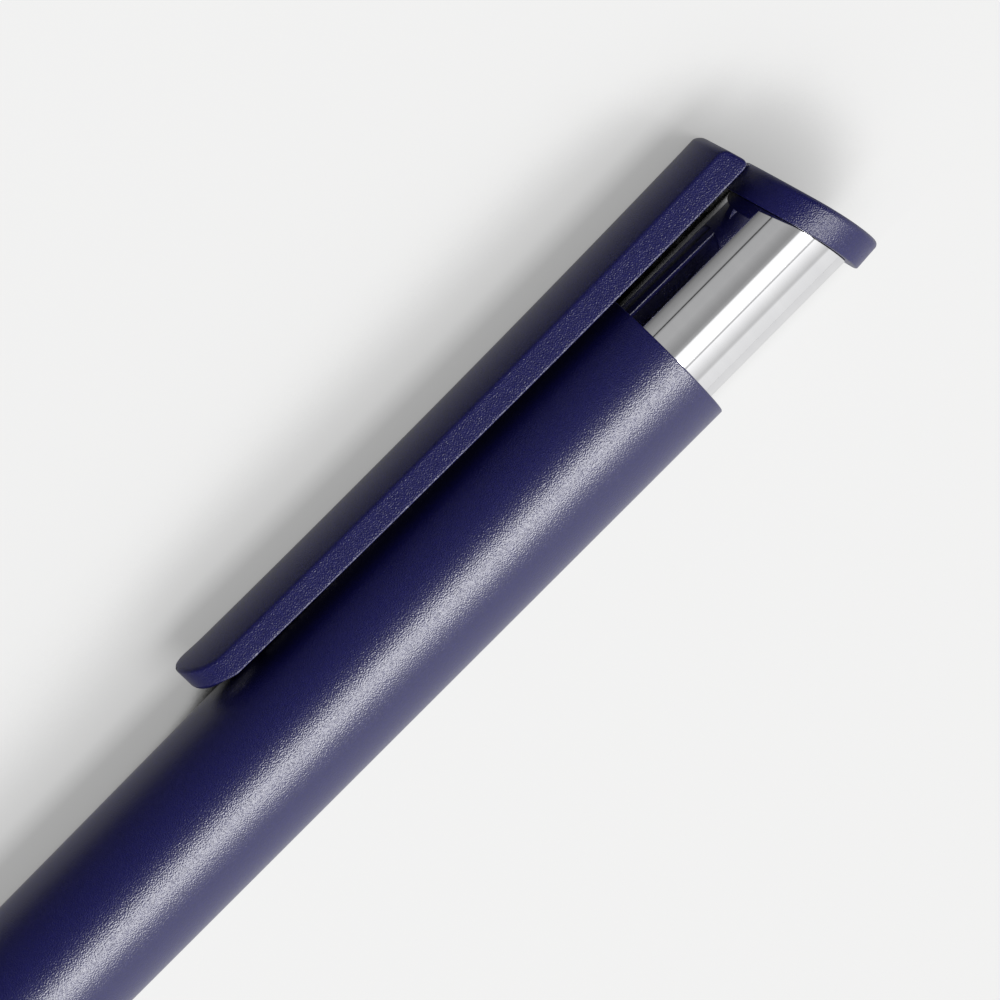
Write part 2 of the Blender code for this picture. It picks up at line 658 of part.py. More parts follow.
def clip_rings():
    """Rings of points round the clip, from its top end down to its tip."""
    rings = []
    for share in (0, 0.04, 0.1, 0.2, 0.32, 0.5, 0.74, 1):
        depth = share * CLIP_CORNER_DROP
        drop = drawn_in(depth, CLIP_TOP_DROP, CLIP_TOP_WIDTH)
        inner = CLIP_BACK + drawn_in(depth, CLIP_CORNER_DROP, CLIP_CORNER_WIDTH)
        half = CLIP_HALF_TOP - drawn_in(depth, CLIP_EDGE, CLIP_EDGE)
        section = clip_section(CLIP_REACH, drop, inner, half, 1.0, CLIP_EDGE)
        rings.append([(x, y, PLATE_TOP - depth - PLATE_SLOPE * x) for x, y, passed in section])
    top = PLATE_TOP - CLIP_CORNER_DROP
    tip_start = CLIP_TIP + CLIP_TIP_LENGTH
    steps = 14
    for k in range(1, steps + 1):
        height = top + (tip_start - top) * k / steps
        slope = PLATE_SLOPE * (1 - k / steps)
        low = height - slope * CLIP_OUTER_RADIUS
        half = clip_half(height)
        section = clip_section(clip_radius(low), 0.0, clip_inner(low), half, 1.0, CLIP_EDGE)
        rings.append([(x, y, height - slope * x) for x, y, passed in section])
    steps = 12
    for k in range(1, steps + 1):
        turn = math.radians(88) * k / steps
        along = CLIP_TIP_LENGTH - CLIP_TIP_SLANT
        height = tip_start - along * math.sin(turn)
        radius = clip_radius(height)
        left = along * (1 - math.sin(turn))
        drop = drawn_in(left, CLIP_TIP_EDGE, CLIP_TIP_EDGE)
        half = clip_half(height)
        section = clip_section(radius, drop, clip_inner(height), half, math.cos(turn), CLIP_EDGE)
        slant = CLIP_TIP_SLANT * math.sin(turn)
        ring = []
        for x, y, passed in section:
            beyond = min(1.0, passed / CLIP_TIP_CORNER)
            ring.append((x, y, height - slant * math.sqrt(beyond * (2 - beyond))))
        rings.append(ring)
    return rings


def loft(name, rings):
    """Closes rings of equally many points into one body."""
    mesh = bpy.data.meshes.new(name)
    bm = bmesh.new()
    made = [[bm.verts.new(point) for point in ring] for ring in rings]
    count = len(rings[0])
    for upper, lower in zip(made, made[1:]):
        for k in range(count):
            after = (k + 1) % count
            bm.faces.new((upper[k], upper[after], lower[after], lower[k]))
    bm.faces.new(made[0])
    bm.faces.new(made[-1])
    bmesh.ops.recalc_face_normals(bm, faces=bm.faces)
    bm.to_mesh(mesh)
    bm.free()
    smooth(mesh)
    return mesh


def channel_mesh(side):
    """One of the two channels in the clip's underside; its roof is shallow at both ends."""
    top = NECK_LOW - CHANNEL_RUN_OUT
    low = CLIP_TIP + CHANNEL_FROM_TIP
    steps = 12
    ends = (top, top - CHANNEL_RUN_OUT)
    heights = [ends[0]] + [ends[1] + (low + CHANNEL_RUN_OUT - ends[1]) * k / steps for k in range(steps + 1)]
    heights.append(low)
    rings = []
    for height in heights:
        radius = clip_radius(height)
        inner = clip_inner(height)
        half = clip_half(height)
        wide = half + CLIP_FLARE * (math.sqrt(radius**2 - half**2) - inner) - CHANNEL_LIP
        depth_share = 0.15 if height in (top, low) else 1.0
        roof = []
        for k in range(7):
            y = CHANNEL_RIB_HALF + (wide - CHANNEL_RIB_HALF) * k / 6
            rise = math.sqrt((radius - CLIP_ROOF) ** 2 - y**2) - inner
            roof.append((inner + rise * depth_share, side * y, height))
        below = inner - CUT_OVER
        rings.append([(below, roof[0][1], height)] + roof + [(below, roof[-1][1], height)])
    return loft("channel", rings)


def plate_profile():
    """Half outline of the level plate, before it is leaned, with points across both faces."""
    low_radius = PLATE_RADIUS + PLATE_DRAFT
    corner = (PLATE_SHOULDER, PLATE_TOP - PLATE_TOP_EDGE)
    low_corner = (low_radius - PLATE_LOW_EDGE, PLATE_LOW + PLATE_LOW_EDGE)
    across = [PLATE_SHOULDER * k / 5 for k in range(5)]
    profile = [(r, PLATE_TOP) for r in across]
    profile += arc(corner, (PLATE_TOP_EDGE, PLATE_TOP_EDGE), 90, 0, 6)
    profile += arc(low_corner, (PLATE_LOW_EDGE, PLATE_LOW_EDGE), 0, -90, 3)
    profile += [(r, PLATE_LOW) for r in reversed(across)]
    return profile


OVERALL_LENGTH = max(leaned(-r, z) for r, z in plate_profile())


def plate_mesh():
    """The slanted round plate: turned level, then leaned and bent."""
    mesh = turned_mesh("plate", plate_profile(), OUTER_STEPS, closed=False)
    lean(mesh)
    return mesh


def core_mesh():
    """The tube under the plate, whose upper end is leaned so that it ends inside the plate."""
    core_radius = SLEEVE_BORE - CLOSE_FIT
    middle = (PLATE_TOP + PLATE_LOW) / 2
    profile = [
        (core_radius, middle),
        (core_radius, CORE_BOTTOM),
        (CORE_BORE, CORE_BOTTOM),
        (CORE_BORE, middle),
    ]
    mesh = turned_mesh("core", profile, INNER_STEPS, closed=True)
    lean(mesh, above=RIM)
    return mesh


def neck_mesh():
    """The short neck from the plate to the clip, which widens towards the clip."""
    inside = PLATE_RADIUS - CUT_OVER
    outside = CLIP_BACK + CLIP_DEPTH_TOP / 3
    low = (inside, -NECK_HALF_AT_PLATE, PLATE_LOW + PLATE_LOW_EDGE)
    high = (outside, NECK_HALF_AT_PLATE, PLATE_TOP - NECK_DROP)
    mesh = box_mesh("neck", low, high)
    for vert in mesh.vertices:
        if vert.co.x > PLATE_RADIUS:
            vert.co.y = math.copysign(NECK_HALF_AT_CLIP, vert.co.y)
    lean(mesh)
    return mesh


def pip_mesh():
    """The bead under the clip's tip that holds cloth against the barrel; its back is flatter."""
    height = CLIP_TIP + PIP_FROM_TIP
    middle = barrel_radius(height) + PIP_CLEARANCE + PIP_DEPTH
    mesh = bpy.data.meshes.new("pip")
    bm = bmesh.new()
    bmesh.ops.create_uvsphere(bm, u_segments=24, v_segments=12, radius=1.0)
    for vert in bm.verts:
        depth = PIP_DEPTH if vert.co.x < 0 else PIP_DEPTH / 2
        x, y, z = vert.co.x * depth, vert.co.y * PIP_WIDTH / 2, vert.co.z * PIP_LENGTH / 2
        vert.co = (middle + x, y, height + z)
    bm.to_mesh(mesh)
    bm.free()
    smooth(mesh)
    return mesh


def make_clip_cap(paint):
    """Cap plate, core, neck and clip as one moulding."""
    cap = add_object("clip_cap", loft("clip_blade", clip_rings()), paint)
    for side in (-1, 1):
        boolean(cap, add_object("channel_cutter", channel_mesh(side)), "DIFFERENCE")
    for name, mesh in (
        ("cap_neck", neck_mesh()),
        ("cap_plate", plate_mesh()),
        ("cap_core", core_mesh()),
        ("clip_pip", pip_mesh()),
    ):
        boolean(cap, add_object(name, mesh), "UNION")


def resting_roll():
    """How far the pen rolls from lying on its barrel alone until an edge of the clip is grounded."""
    rolls = []
    for ring in clip_rings():
        for x, y, z in ring:
            out = math.hypot(x, y)
            if out > RIM_RADIUS:
                rolls.append(math.asin(RIM_RADIUS / out) - math.atan2(y, x))
    return min(rolls)


def lay_down():
    """Lays the pen on its barrel and on the clip's edge, and centres it over the origin."""
    roll = resting_roll()
    aim = Matrix(((0, 0, -1), (-1, 0, 0), (0, 1, 0))).to_4x4()
    turn = Matrix.Rotation(roll, 4, "X")
    middle_y = (CLIP_REACH - RIM_RADIUS) / 2
    PEN.matrix_world = Matrix.Translation((OVERALL_LENGTH / 2, middle_y, RIM_RADIUS)) @ turn @ aim


clear_scene()
PARTS = new_collection("ballpoint_pen")
CUTTERS = new_collection("cutters")
PEN = bpy.data.objects.new("pen_axis", None)
PARTS.objects.link(PEN)

NAVY = material("navy_satin_plastic", (0.012, 0.011, 0.06), 0.42, 0.0)
CHROME = material("polished_chrome", (0.8, 0.8, 0.82), 0.05, 1.0)
STEEL = material("refill_steel", (0.55, 0.55, 0.56), 0.3, 1.0)
SPRING_STEEL = material("spring_steel", (0.5, 0.5, 0.52), 0.25, 1.0)
BRASS = material("socket_brass", (0.72, 0.55, 0.28), 0.3, 1.0)
CARBIDE = material("ball_carbide", (0.35, 0.35, 0.37), 0.15, 1.0)
WHITE = material("white_acetal", (0.8, 0.8, 0.78), 0.45, 0.0)
GREY = material("grey_acetal", (0.4, 0.41, 0.43), 0.45, 0.0)
INK = material("blue_ink", (0.01, 0.02, 0.2), 0.2, 0.0)
GREASE = material("follower_grease", (0.75, 0.72, 0.6), 0.3, 0.0)

make_barrel(NAVY)
make_nose_cone(CHROME)
make_return_spring(SPRING_STEEL)
make_refill_tube(STEEL)
make_refill_tip(BRASS)
make_writing_ball(CARBIDE)
make_ink_column("refill_ink", INK_LOW, INK_LENGTH, INK)
make_ink_column("ink_follower", FOLLOWER_LOW, FOLLOWER_LENGTH, GREASE)
make_refill_crown(GREY)
make_guide_sleeve(WHITE)
make_cam_rotor(GREY)
make_plunger(WHITE)
make_chrome_sleeve(CHROME)
make_clip_cap(NAVY)
lay_down()
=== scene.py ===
"""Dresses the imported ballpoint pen: fine shells over the plain solids, materials, light and camera."""

import json
import math

import bmesh
import bpy
from mathutils import Matrix, Vector


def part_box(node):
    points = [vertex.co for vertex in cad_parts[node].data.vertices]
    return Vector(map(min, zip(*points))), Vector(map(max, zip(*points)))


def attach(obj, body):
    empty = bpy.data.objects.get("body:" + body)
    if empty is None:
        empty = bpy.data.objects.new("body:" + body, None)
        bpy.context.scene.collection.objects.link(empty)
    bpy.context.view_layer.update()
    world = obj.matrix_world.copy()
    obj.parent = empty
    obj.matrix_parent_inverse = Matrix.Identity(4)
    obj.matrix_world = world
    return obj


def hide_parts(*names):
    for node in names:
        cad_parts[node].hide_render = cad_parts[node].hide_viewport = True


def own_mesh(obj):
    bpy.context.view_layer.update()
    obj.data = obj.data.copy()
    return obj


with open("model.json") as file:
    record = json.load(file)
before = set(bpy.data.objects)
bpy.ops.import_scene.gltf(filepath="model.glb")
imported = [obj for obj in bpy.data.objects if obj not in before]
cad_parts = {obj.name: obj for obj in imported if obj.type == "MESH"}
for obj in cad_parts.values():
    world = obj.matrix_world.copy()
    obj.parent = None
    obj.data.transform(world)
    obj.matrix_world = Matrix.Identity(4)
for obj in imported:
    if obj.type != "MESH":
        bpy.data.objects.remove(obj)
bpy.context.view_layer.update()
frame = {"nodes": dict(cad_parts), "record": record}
nodes = frame["nodes"]

MM = 0.001

# Facets round a turned shell, and the angle past which an edge is shaded sharp
FINE_ROUND = 256
ROUND = 192
HIDDEN_ROUND = 96
SHARP_ANGLE = 40
CUT_SHARP_ANGLE = 32

# The pen's own axes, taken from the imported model: x points at the clip, y across it, z at the cap
BARREL_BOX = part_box("barrel")
NOSE_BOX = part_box("nose_cone")
FACE = next(m for m in frame["record"]["mounts"] if m["name"] == "push_face")["axis"]
AXIS_Y = (BARREL_BOX[0].y + BARREL_BOX[1].y) / 2
AXIS_Z = (BARREL_BOX[0].z + BARREL_BOX[1].z) / 2
TIP_X = NOSE_BOX[1].x
TO_CLIP = Vector((0, FACE[1], FACE[2])).normalized()
TO_CAP = Vector((-1, 0, 0))
ACROSS = TO_CAP.cross(TO_CLIP)
PEN = Matrix((TO_CLIP, ACROSS, TO_CAP)).transposed().to_4x4()
PEN.translation = (TIP_X, AXIS_Y, AXIS_Z)
SLOPE = math.hypot(FACE[1], FACE[2]) / abs(FACE[0])

# Barrel and nose
RIM = TIP_X - BARREL_BOX[0].x
RIM_RADIUS = (BARREL_BOX[1].y - BARREL_BOX[0].y) / 2
NOSE_LENGTH = TIP_X - BARREL_BOX[1].x
TAPER = 0.0046
RIM_EDGE = 0.12 * MM
NOSE_FRONT_RADIUS = 1.75 * MM
NOSE_FULLNESS = 2.2
NOSE_EDGE = 0.3 * MM
SPIGOT_LENGTH = 6.0 * MM
SPIGOT_RADIUS = 3.805 * MM
SPIGOT_EDGE = 0.12 * MM
NOSE_BORE = 3.005 * MM
TIP_HOLE = 1.31 * MM
TIP_HOLE_EDGE = 0.05 * MM
CHAMBER_DEPTH = 3.2 * MM
CHAMBER_TOP = 6.55 * MM
CHAMBER_RADIUS = 2.3 * MM
COIL_RADIUS = 1.95 * MM
WIRE_RADIUS = 0.19 * MM
COIL_TURNS = 7
THREAD_PITCH = 1.0 * MM
THREAD_DEPTH = 0.22 * MM
THREAD_FROM_SHOULDER = 1.2 * MM
THREAD_FROM_END = 0.6 * MM
THREAD_ROWS = 60
THREAD_SLACK = 0.01 * MM
BARREL_BORE = 4.26 * MM
COUNTERBORE = 3.845 * MM
COUNTERBORE_TOP = 20.25 * MM
REFILL_BORE = 3.58 * MM
GUIDE_SEAT = 100.0 * MM
JOINT_RADIUS = RIM_RADIUS - TAPER * (RIM - NOSE_LENGTH)

# Chrome sleeve, plate and neck
SLEEVE_RADIUS = 4.18 * MM
SLEEVE_BORE = 3.83 * MM
SLEEVE_LOW = 116.97 * MM
SLEEVE_EDGE = 0.04 * MM
CORE_LOW = 116.95 * MM
CORE_RADIUS = 3.79 * MM
CORE_BORE = 2.6 * MM
PLATE_LOW = RIM + 11.6 * MM
PLATE_TOP = PLATE_LOW + 2.2 * MM
PLATE_RADIUS = 5.0 * MM
PLATE_DRAFT = 0.05 * MM
PLATE_FLAT_FROM = 1.5 * MM
PLATE_BEND = 0.0135 / MM
PLATE_TOP_EDGE = 0.42 * MM
PLATE_LOW_EDGE = 0.12 * MM
PLATE_SHOULDER = PLATE_RADIUS - PLATE_DRAFT - PLATE_TOP_EDGE
CLOSE_FIT = 0.04 * MM
NECK_HALF_AT_PLATE = 0.5 * MM
NECK_HALF_AT_CLIP = 1.4 * MM
NECK_DROP = 0.1 * MM
NECK_ROOT = 1 * MM
NECK_INTO_CLIP = 1 / 3

# Clip
CLIP_OUTER_RADIUS = 7.97 * MM
CLIP_DEPTH_TOP = 2.45 * MM
CLIP_DEPTH_TIP = 2.08 * MM
CLIP_ROOF = 1.07 * MM
CLIP_FLARE = 0.3444
CLIP_HALF_TOP = 3.3 * MM
CLIP_HALF_TIP = 3.08 * MM
CLIP_TIP = RIM - 36.3 * MM
CLIP_TOP = PLATE_TOP - SLOPE * CLIP_OUTER_RADIUS
CLIP_TIP_LENGTH = 2.95 * MM
CLIP_TIP_SLANT = 0.3 * MM
CLIP_TIP_CORNER = 0.12
CLIP_TIP_TURN = 89
CLIP_TIP_EDGE = 0.06 * MM
CLIP_TIP_LIFT = 0.12 * MM
CLIP_LIFT_LENGTH = 3.0 * MM
CLIP_UNDER_LIFT = 0.68 * MM
CLIP_UNDER_LENGTH = 2.8 * MM
CLIP_BOW_CENTRE = 15.7 * MM
CLIP_BOW_RADIUS = 1360 * MM
CLIP_EDGE = 0.16 * MM
CLIP_TOP_WIDTH = 1.05 * MM
CLIP_TOP_DROP = 0.5 * MM
CLIP_TOP_FADE = 0.55
CLIP_CORNER_WIDTH = 0.5 * MM
CLIP_CORNER_DROP = 0.65 * MM
CHANNEL_LIP = 0.6 * MM
CHANNEL_RIB_HALF = 0.65 * MM
CHANNEL_EDGE = 0.1 * MM
CHANNEL_RUN_OUT = 1.5 * MM
CHANNEL_END_DEPTH = 0.15
CHANNEL_CUT_BELOW = 1 * MM
CHANNEL_FROM_TIP = 4.75 * MM
PIP_FROM_TIP = 2.3 * MM
PIP_LENGTH = 4.6 * MM
PIP_WIDTH = 2.8 * MM
PIP_DEPTH = 1.4 * MM
PIP_CLEARANCE = 0.1 * MM

# Satin moulding: its grain, and how far painted shade darkens its colour where it is closed in
NAVY_GRAIN = 11500
NAVY_DARK = (0.0038, 0.0036, 0.063)
NAVY_LIGHT = (0.0048, 0.0045, 0.078)
NAVY_IOR = 1.6
NAVY_REACH = 6 * MM
NAVY_SAMPLES = 8
NAVY_PAINTED_SHADE_SPAN = (0.02, 0.65)
NAVY_PAINTED_SHADE_LEAST = 0.12
ROUGH_SPREAD = 0.03

# Floor, as the camera sees it: its glow, its paint, and its painted shadow by how open it lies
FLOOR_RADIUS = 3.0
FLOOR_GLOW = 0.67
FLOOR_TINT = (1.0, 1.0, 0.995, 1)
FLOOR_LIT = 0.155
FLOOR_REACH = 60 * MM
FLOOR_SAMPLES = 32
FLOOR_PAINTED_SHADE_SPAN = (0.13, 0.24)
FLOOR_PAINTED_SHADE_LEAST = 0.01
FLOOR_PAINTED_SHADOW = (
    (0.08, 0.0), (0.14, 0.49), (0.22, 0.52), (0.42, 0.56), (0.53, 0.58), (0.71, 0.67),
    (0.79, 0.79), (0.87, 0.97), (0.95, 1.0),
)
FLOOR_LIT_SIDE = (0.006, 0.011)

# Floor, as reflections see it, by the share of the way across, which paints the reflection of a darker
# set, and as other rays meet it
FLOOR_ACROSS = (-0.02, 0.02)
FLOOR_PAINTED_REFLECTION = (
    (0.08, 0.01), (0.15, 0.03), (0.2, 0.09), (0.26, 0.21), (0.3, 0.31), (0.34, 0.31),
    (0.42, 0.32), (0.55, 0.34), (0.7, 0.55), (0.85, 0.75), (1.0, 0.8),
)
FLOOR_BOUNCE = 0.75
FLOOR_FILL = 0.3

# Lamp over the pen
KEY_ELEVATION = 93.5
KEY_DISTANCE = 0.6
KEY_WIDTH = 0.17
KEY_LENGTH = 0.7
KEY_RADIANCE = 10.5

# Studio: its grey by the angle over the pen, from the clip's horizon at 0 to the other side at 180.
# Low on the clip's side it is seen only through a window along X.
STUDIO_GREYS = (
    (0, 0.12), (7, 0.26), (22, 0.37), (24.8, 0.32), (25.3, 0.03), (26.7, 0.03), (27.2, 0.33),
    (31, 0.45), (49, 0.46), (66, 0.33), (72, 0.31), (78, 0.42), (80.5, 1.2), (105.2, 1.2),
    (105.8, 0.55), (108.2, 0.55), (108.8, 1.2), (112, 1.12), (140, 0.62), (143, 0.66),
    (147, 0.9), (180, 0.85),
)
WINDOW_CENTRE = -0.073
WINDOW_FADE = (0.035, 0.085)
WINDOW_LEAST = 0.05
WINDOW_END = (75, 105)
BACKDROP = (0.89, 0.89, 0.885, 1)

# Camera, by the pen's own axes
VIEW_ANGLE = 73.4
VIEW_ROLL = 0.0037
VIEW_BELOW_RIM = 14.1 * MM
VIEW_ASIDE_MM = 0.74
VIEW_DISTANCE_MM = 298.7
SENSOR_WIDTH = 36
LENS_TO_SENSOR = 4.66
NEAR_CLIP = 0.01


def put(name, mesh, body, slot, paint, *replaced):
    """Adds a finished mesh, given in the pen's own axes, as a piece on a body."""
    mesh.transform(PEN)
    piece = bpy.data.objects.new(name, mesh)
    bpy.context.scene.collection.objects.link(piece)
    mesh.materials.clear()
    mesh.materials.append(paint)
    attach(piece, body)
    if replaced:
        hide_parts(*replaced)
    return piece


def smooth(mesh, degrees=SHARP_ANGLE):
    mesh.shade_smooth()
    mesh.set_sharp_from_angle(angle=math.radians(degrees))


def finish_mesh(name, bm):
    mesh = bpy.data.meshes.new(name)
    bmesh.ops.recalc_face_normals(bm, faces=bm.faces)
    bm.to_mesh(mesh)
    bm.free()
    smooth(mesh)
    return mesh


def arc(centre, radii, start, end, steps):
    """Points of an arc between two angles in degrees, ends included."""
    points = []
    for k in range(steps + 1):
        a = math.radians(start + (end - start) * k / steps)
        points.append((centre[0] + radii[0] * math.cos(a), centre[1] + radii[1] * math.sin(a)))
    return points


def revolve(name, profile, steps, closed=True, move=None):
    """Turns (r, z) points about the axis. Points on the axis become one vertex."""
    bm = bmesh.new()
    rings = []
    for r, z in profile:
        if r == 0:
            rings.append([bm.verts.new((0, 0, z))])
            continue
        ring = []
        for k in range(steps):
            a = math.tau * k / steps
            ring.append(bm.verts.new((r * math.cos(a), r * math.sin(a), z)))
        rings.append(ring)
    pairs = list(zip(rings, rings[1:]))
    if closed:
        pairs.append((rings[-1], rings[0]))
    for one, two in pairs:
        for k in range(steps):
            after = (k + 1) % steps
            corners = [one[k % len(one)], one[after % len(one)]]
            corners += [two[after % len(two)], two[k % len(two)]]
            corners = list(dict.fromkeys(corners))
            if len(corners) > 2:
                bm.faces.new(corners)
    if move:
        for vert in bm.verts:
            vert.co = move(vert.co)
    return finish_mesh(name, bm)


def loft(name, rings):
    """Skins a run of closed rings and caps both ends."""
    bm = bmesh.new()
    made = [[bm.verts.new(point) for point in ring] for ring in rings]
    count = len(rings[0])
    for upper, lower in zip(made, made[1:]):
        for k in range(count):
            after = (k + 1) % count
            bm.faces.new((upper[k], upper[after], lower[after], lower[k]))
    bm.faces.new(made[0])
    bm.faces.new(made[-1])
    return finish_mesh(name, bm)


def combine(mesh, steps):
    """Runs Booleans on a mesh: each step is (other mesh, operation)."""
    holder = bpy.data.objects.new("holder", mesh)
    bpy.context.scene.collection.objects.link(holder)
    others = []
    for other, operation in steps:
        tool = bpy.data.objects.new("tool", other)
        bpy.context.scene.collection.objects.link(tool)
        others.append(tool)
        cut = holder.modifiers.new("cut", "BOOLEAN")
        cut.operation = operation
        cut.solver = "EXACT"
        cut.object = tool
    bpy.context.view_layer.update()
    graph = bpy.context.evaluated_depsgraph_get()
    made = bpy.data.meshes.new_from_object(holder.evaluated_get(graph))
    for old in [holder] + others:
        bpy.data.objects.remove(old, do_unlink=True)
    smooth(made, CUT_SHARP_ANGLE)
    return made


def bezier(before, corner, after, steps):
    """Points of a rounded corner, ends included."""
    points = []
    for k in range(steps + 1):
        t = k / steps
        points.append(tuple(
            (1 - t) ** 2 * b + 2 * t * (1 - t) * c + t**2 * a for b, c, a in zip(before, corner, after)
        ))
    return points


def new_material(name):
    made = bpy.data.materials.new(name)
    made.use_nodes = True
    tree = made.node_tree
    return made, tree.nodes, tree.links, tree.nodes["Principled BSDF"]


def object_coordinates(tree, links, scale=(1, 1, 1)):
    where = tree.new("ShaderNodeTexCoord")
    mapping = tree.new("ShaderNodeMapping")
    mapping.inputs["Scale"].default_value = scale
    links.new(where.outputs["Object"], mapping.inputs["Vector"])
    return mapping.outputs["Vector"]


def noise(tree, links, vector, scale, detail=2.0, rough=0.5):
    made = tree.new("ShaderNodeTexNoise")
    made.inputs["Scale"].default_value = scale
    made.inputs["Detail"].default_value = detail
    made.inputs["Roughness"].default_value = rough
    links.new(vector, made.inputs["Vector"])
    return made.outputs["Fac"]


def ramp(tree, links, value, stops):
    """Colours by place from 0 to 1. A stop's colour may be a single grey."""
    made = tree.new("ShaderNodeValToRGB")
    band = made.color_ramp
    while len(band.elements) < len(stops):
        band.elements.new(0.5)
    for element, (place, colour) in zip(band.elements, stops):
        element.position = place
        element.color = (*colour, 1.0) if isinstance(colour, tuple) else (colour, colour, colour, 1.0)
    links.new(value, made.inputs["Fac"])
    return made.outputs["Color"]


def spread(tree, links, value, source, result=(0.0, 1.0), eased=False):
    """Maps a value from one range to another, held at its ends."""
    made = tree.new("ShaderNodeMapRange")
    if eased:
        made.interpolation_type = "SMOOTHSTEP"
    keys = ("From Min", "From Max", "To Min", "To Max")
    for key, number in zip(keys, (*source, *result)):
        made.inputs[key].default_value = number
    links.new(value, made.inputs["Value"])
    return made.outputs["Result"]


def calculate(tree, links, operation, value, other=None):
    """One Math node. The second value is a socket, a number or left out."""
    made = tree.new("ShaderNodeMath")
    made.operation = operation
    links.new(value, made.inputs[0])
    if isinstance(other, float):
        made.inputs[1].default_value = other
    elif other is not None:
        links.new(other, made.inputs[1])
    return made.outputs[0]


def scaled(tree, links, colour, by):
    """A colour, given as a socket or as a grey, times a value."""
    made = tree.new("ShaderNodeVectorMath")
    made.operation = "SCALE"
    if isinstance(colour, float):
        made.inputs[0].default_value = (colour, colour, colour)
    else:
        links.new(colour, made.inputs[0])
    links.new(by, made.inputs["Scale"])
    return made.outputs["Vector"]


def openness(tree, reach, samples):
    made = tree.new("ShaderNodeAmbientOcclusion")
    made.samples = samples
    made.inputs["Distance"].default_value = reach
    return made.outputs["AO"]


def bump(tree, links, height, strength, distance, under=None):
    made = tree.new("ShaderNodeBump")
    made.inputs["Strength"].default_value = strength
    made.inputs["Distance"].default_value = distance
    links.new(height, made.inputs["Height"])
    if under is not None:
        links.new(under, made.inputs["Normal"])
    return made.outputs["Normal"]


def around(middle, reach):
    return middle - reach, middle + reach


def satin_navy(name, fine_depth, broad_depth, rough, gloss):
    """Spark-eroded navy moulding: a random grain of small facets that breaks up its highlights, and a
    colour darkened by painted shade where the moulding is closed in.
    """
    made, tree, links, shader = new_material(name)
    place = object_coordinates(tree, links)
    fine = noise(tree, links, place, NAVY_GRAIN, 0.0)
    broad = noise(tree, links, place, NAVY_GRAIN / 3)
    colour = ramp(tree, links, broad, [(0.3, NAVY_DARK), (0.7, NAVY_LIGHT)])
    # Painted shade: ambient occlusion darkens the base colour in recesses, under the clip and between
    # parts
    painted_shade = openness(tree, NAVY_REACH, NAVY_SAMPLES)
    painted_shade = spread(tree, links, painted_shade, NAVY_PAINTED_SHADE_SPAN, (NAVY_PAINTED_SHADE_LEAST, 1.0))
    links.new(scaled(tree, links, colour, painted_shade), shader.inputs["Base Color"])
    roughness = spread(tree, links, broad, (0, 1), around(rough, ROUGH_SPREAD))
    links.new(roughness, shader.inputs["Roughness"])
    shader.inputs["IOR"].default_value = NAVY_IOR
    shader.inputs["Specular IOR Level"].default_value = gloss
    low = bump(tree, links, broad, 1.0, broad_depth)
    links.new(bump(tree, links, fine, 1.0, fine_depth, low), shader.inputs["Normal"])
    return made


def chrome():
    """Bright plating with the faintest lengthwise drawing marks."""
    made, tree, links, shader = new_material("chrome")
    shader.inputs["Metallic"].default_value = 1.0
    marks = noise(tree, links, object_coordinates(tree, links, (0.02, 1, 1)), 2600)
    haze = noise(tree, links, object_coordinates(tree, links, (120, 1, 1)), 8)
    colour = ramp(tree, links, haze, [(0.2, (0.80, 0.80, 0.815)), (0.8, (0.86, 0.86, 0.87))])
    links.new(colour, shader.inputs["Base Color"])
    links.new(spread(tree, links, marks, (0, 1), (0.04, 0.07)), shader.inputs["Roughness"])
    links.new(bump(tree, links, marks, 0.1, 0.0004 * MM), shader.inputs["Normal"])
    return made


def metal(name, dark, light, rough, grain_scale, stretch=(1, 1, 1)):
    made, tree, links, shader = new_material(name)
    shader.inputs["Metallic"].default_value = 1.0
    grain = noise(tree, links, object_coordinates(tree, links, stretch), grain_scale, 3.0, 0.6)
    links.new(ramp(tree, links, grain, [(0.25, dark), (0.75, light)]), shader.inputs["Base Color"])
    links.new(spread(tree, links, grain, (0, 1), around(rough, 0.06)), shader.inputs["Roughness"])
    links.new(bump(tree, links, grain, 0.4, 0.003 * MM), shader.inputs["Normal"])
    return made


def plastic(name, dark, light, rough, grain_scale):
    made, tree, links, shader = new_material(name)
    grain = noise(tree, links, object_coordinates(tree, links), grain_scale, 3.0, 0.55)
    links.new(ramp(tree, links, grain, [(0.3, dark), (0.7, light)]), shader.inputs["Base Color"])
    links.new(spread(tree, links, grain, (0, 1), around(rough, 0.05)), shader.inputs["Roughness"])
    links.new(bump(tree, links, grain, 0.5, 0.006 * MM), shader.inputs["Normal"])
    return made


NAVY = satin_navy("satin_navy", 0.021 * MM, 0.004 * MM, rough=0.31, gloss=0.8)
CAP_NAVY = satin_navy("satin_navy_cap", 0.028 * MM, 0.006 * MM, rough=0.36, gloss=0.55)
CHROME = chrome()
SPRING_STEEL = metal(
    "spring_wire", (0.36, 0.36, 0.38), (0.56, 0.56, 0.58), 0.26, 900, (0.1, 1, 1)
)
REFILL_STEEL = metal(
    "refill_tube_steel", (0.44, 0.44, 0.46), (0.62, 0.62, 0.63), 0.3, 1400, (0.05, 1, 1)
)
BRASS = metal(
    "turned_brass", (0.58, 0.42, 0.18), (0.78, 0.6, 0.32), 0.27, 2600, (1, 0.1, 0.1)
)
CARBIDE = metal("ground_carbide", (0.28, 0.28, 0.3), (0.4, 0.4, 0.42), 0.16, 4000)
GREY = plastic("grey_acetal", (0.34, 0.35, 0.37), (0.44, 0.45, 0.47), 0.45, 1800)
WHITE = plastic("white_acetal", (0.72, 0.72, 0.7), (0.84, 0.84, 0.82), 0.42, 1800)
INK = plastic("blue_ink", (0.006, 0.012, 0.15), (0.012, 0.024, 0.24), 0.2, 700)
GREASE = plastic("follower_grease", (0.68, 0.65, 0.54), (0.8, 0.77, 0.66), 0.28, 700)

